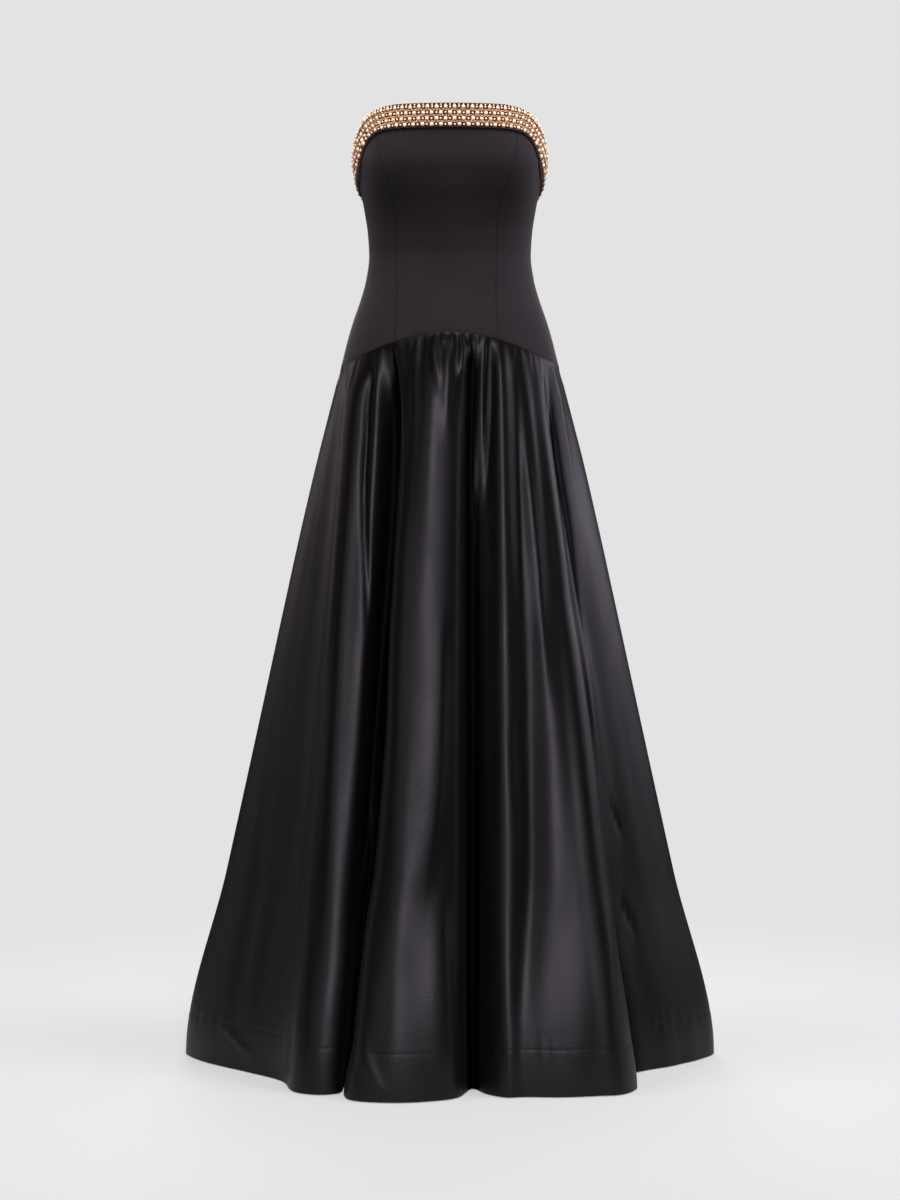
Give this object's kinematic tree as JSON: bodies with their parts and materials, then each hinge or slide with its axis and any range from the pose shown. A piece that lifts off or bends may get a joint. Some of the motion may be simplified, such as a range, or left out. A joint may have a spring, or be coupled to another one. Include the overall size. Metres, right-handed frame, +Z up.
{
  "type": "drop-waist gown",
  "caption": "Strapless drop-waist evening gown in hollow worn form: crepe princess bodice, beaded neckline band, gathered satin skirt to the floor.",
  "frame": {"origin": "middle of the waist, the narrowest place of the bodice, where the wearer holds the gown", "axes": "+Z up along the body, front faces -Y, +X to the right of the gown seen from the front"},
  "size_m": [0.7464, 0.67, 1.3236],
  "materials": {
    "crepe": "matte black stretch crepe",
    "satin": "black duchess satin with a soft sheen",
    "beads": "champagne and rose-gold lustre beads",
    "zip_metal": "black enamelled metal"
  },
  "bodies": {
    "gown": {"bodice_centre_front": "crepe", "bodice_side_front_left": "crepe", "bodice_side_front_right": "crepe", "bodice_back_left": "crepe", "bodice_back_right": "crepe", "beaded_band": "beads", "skirt_front": "satin", "skirt_back_left": "satin", "skirt_back_right": "satin", "zip_slider": "zip_metal"},
    "zip_pull": {"zip_pull": "zip_metal"}
  },
  "joints": [
    {"name": "zip_pull_swing", "type": "hinge", "parent": "gown", "child": "zip_pull", "pos_m": [0, 0.09062, 0.08395], "axis": [1, 0, 0], "range_deg": [0, 160]}
  ]
}
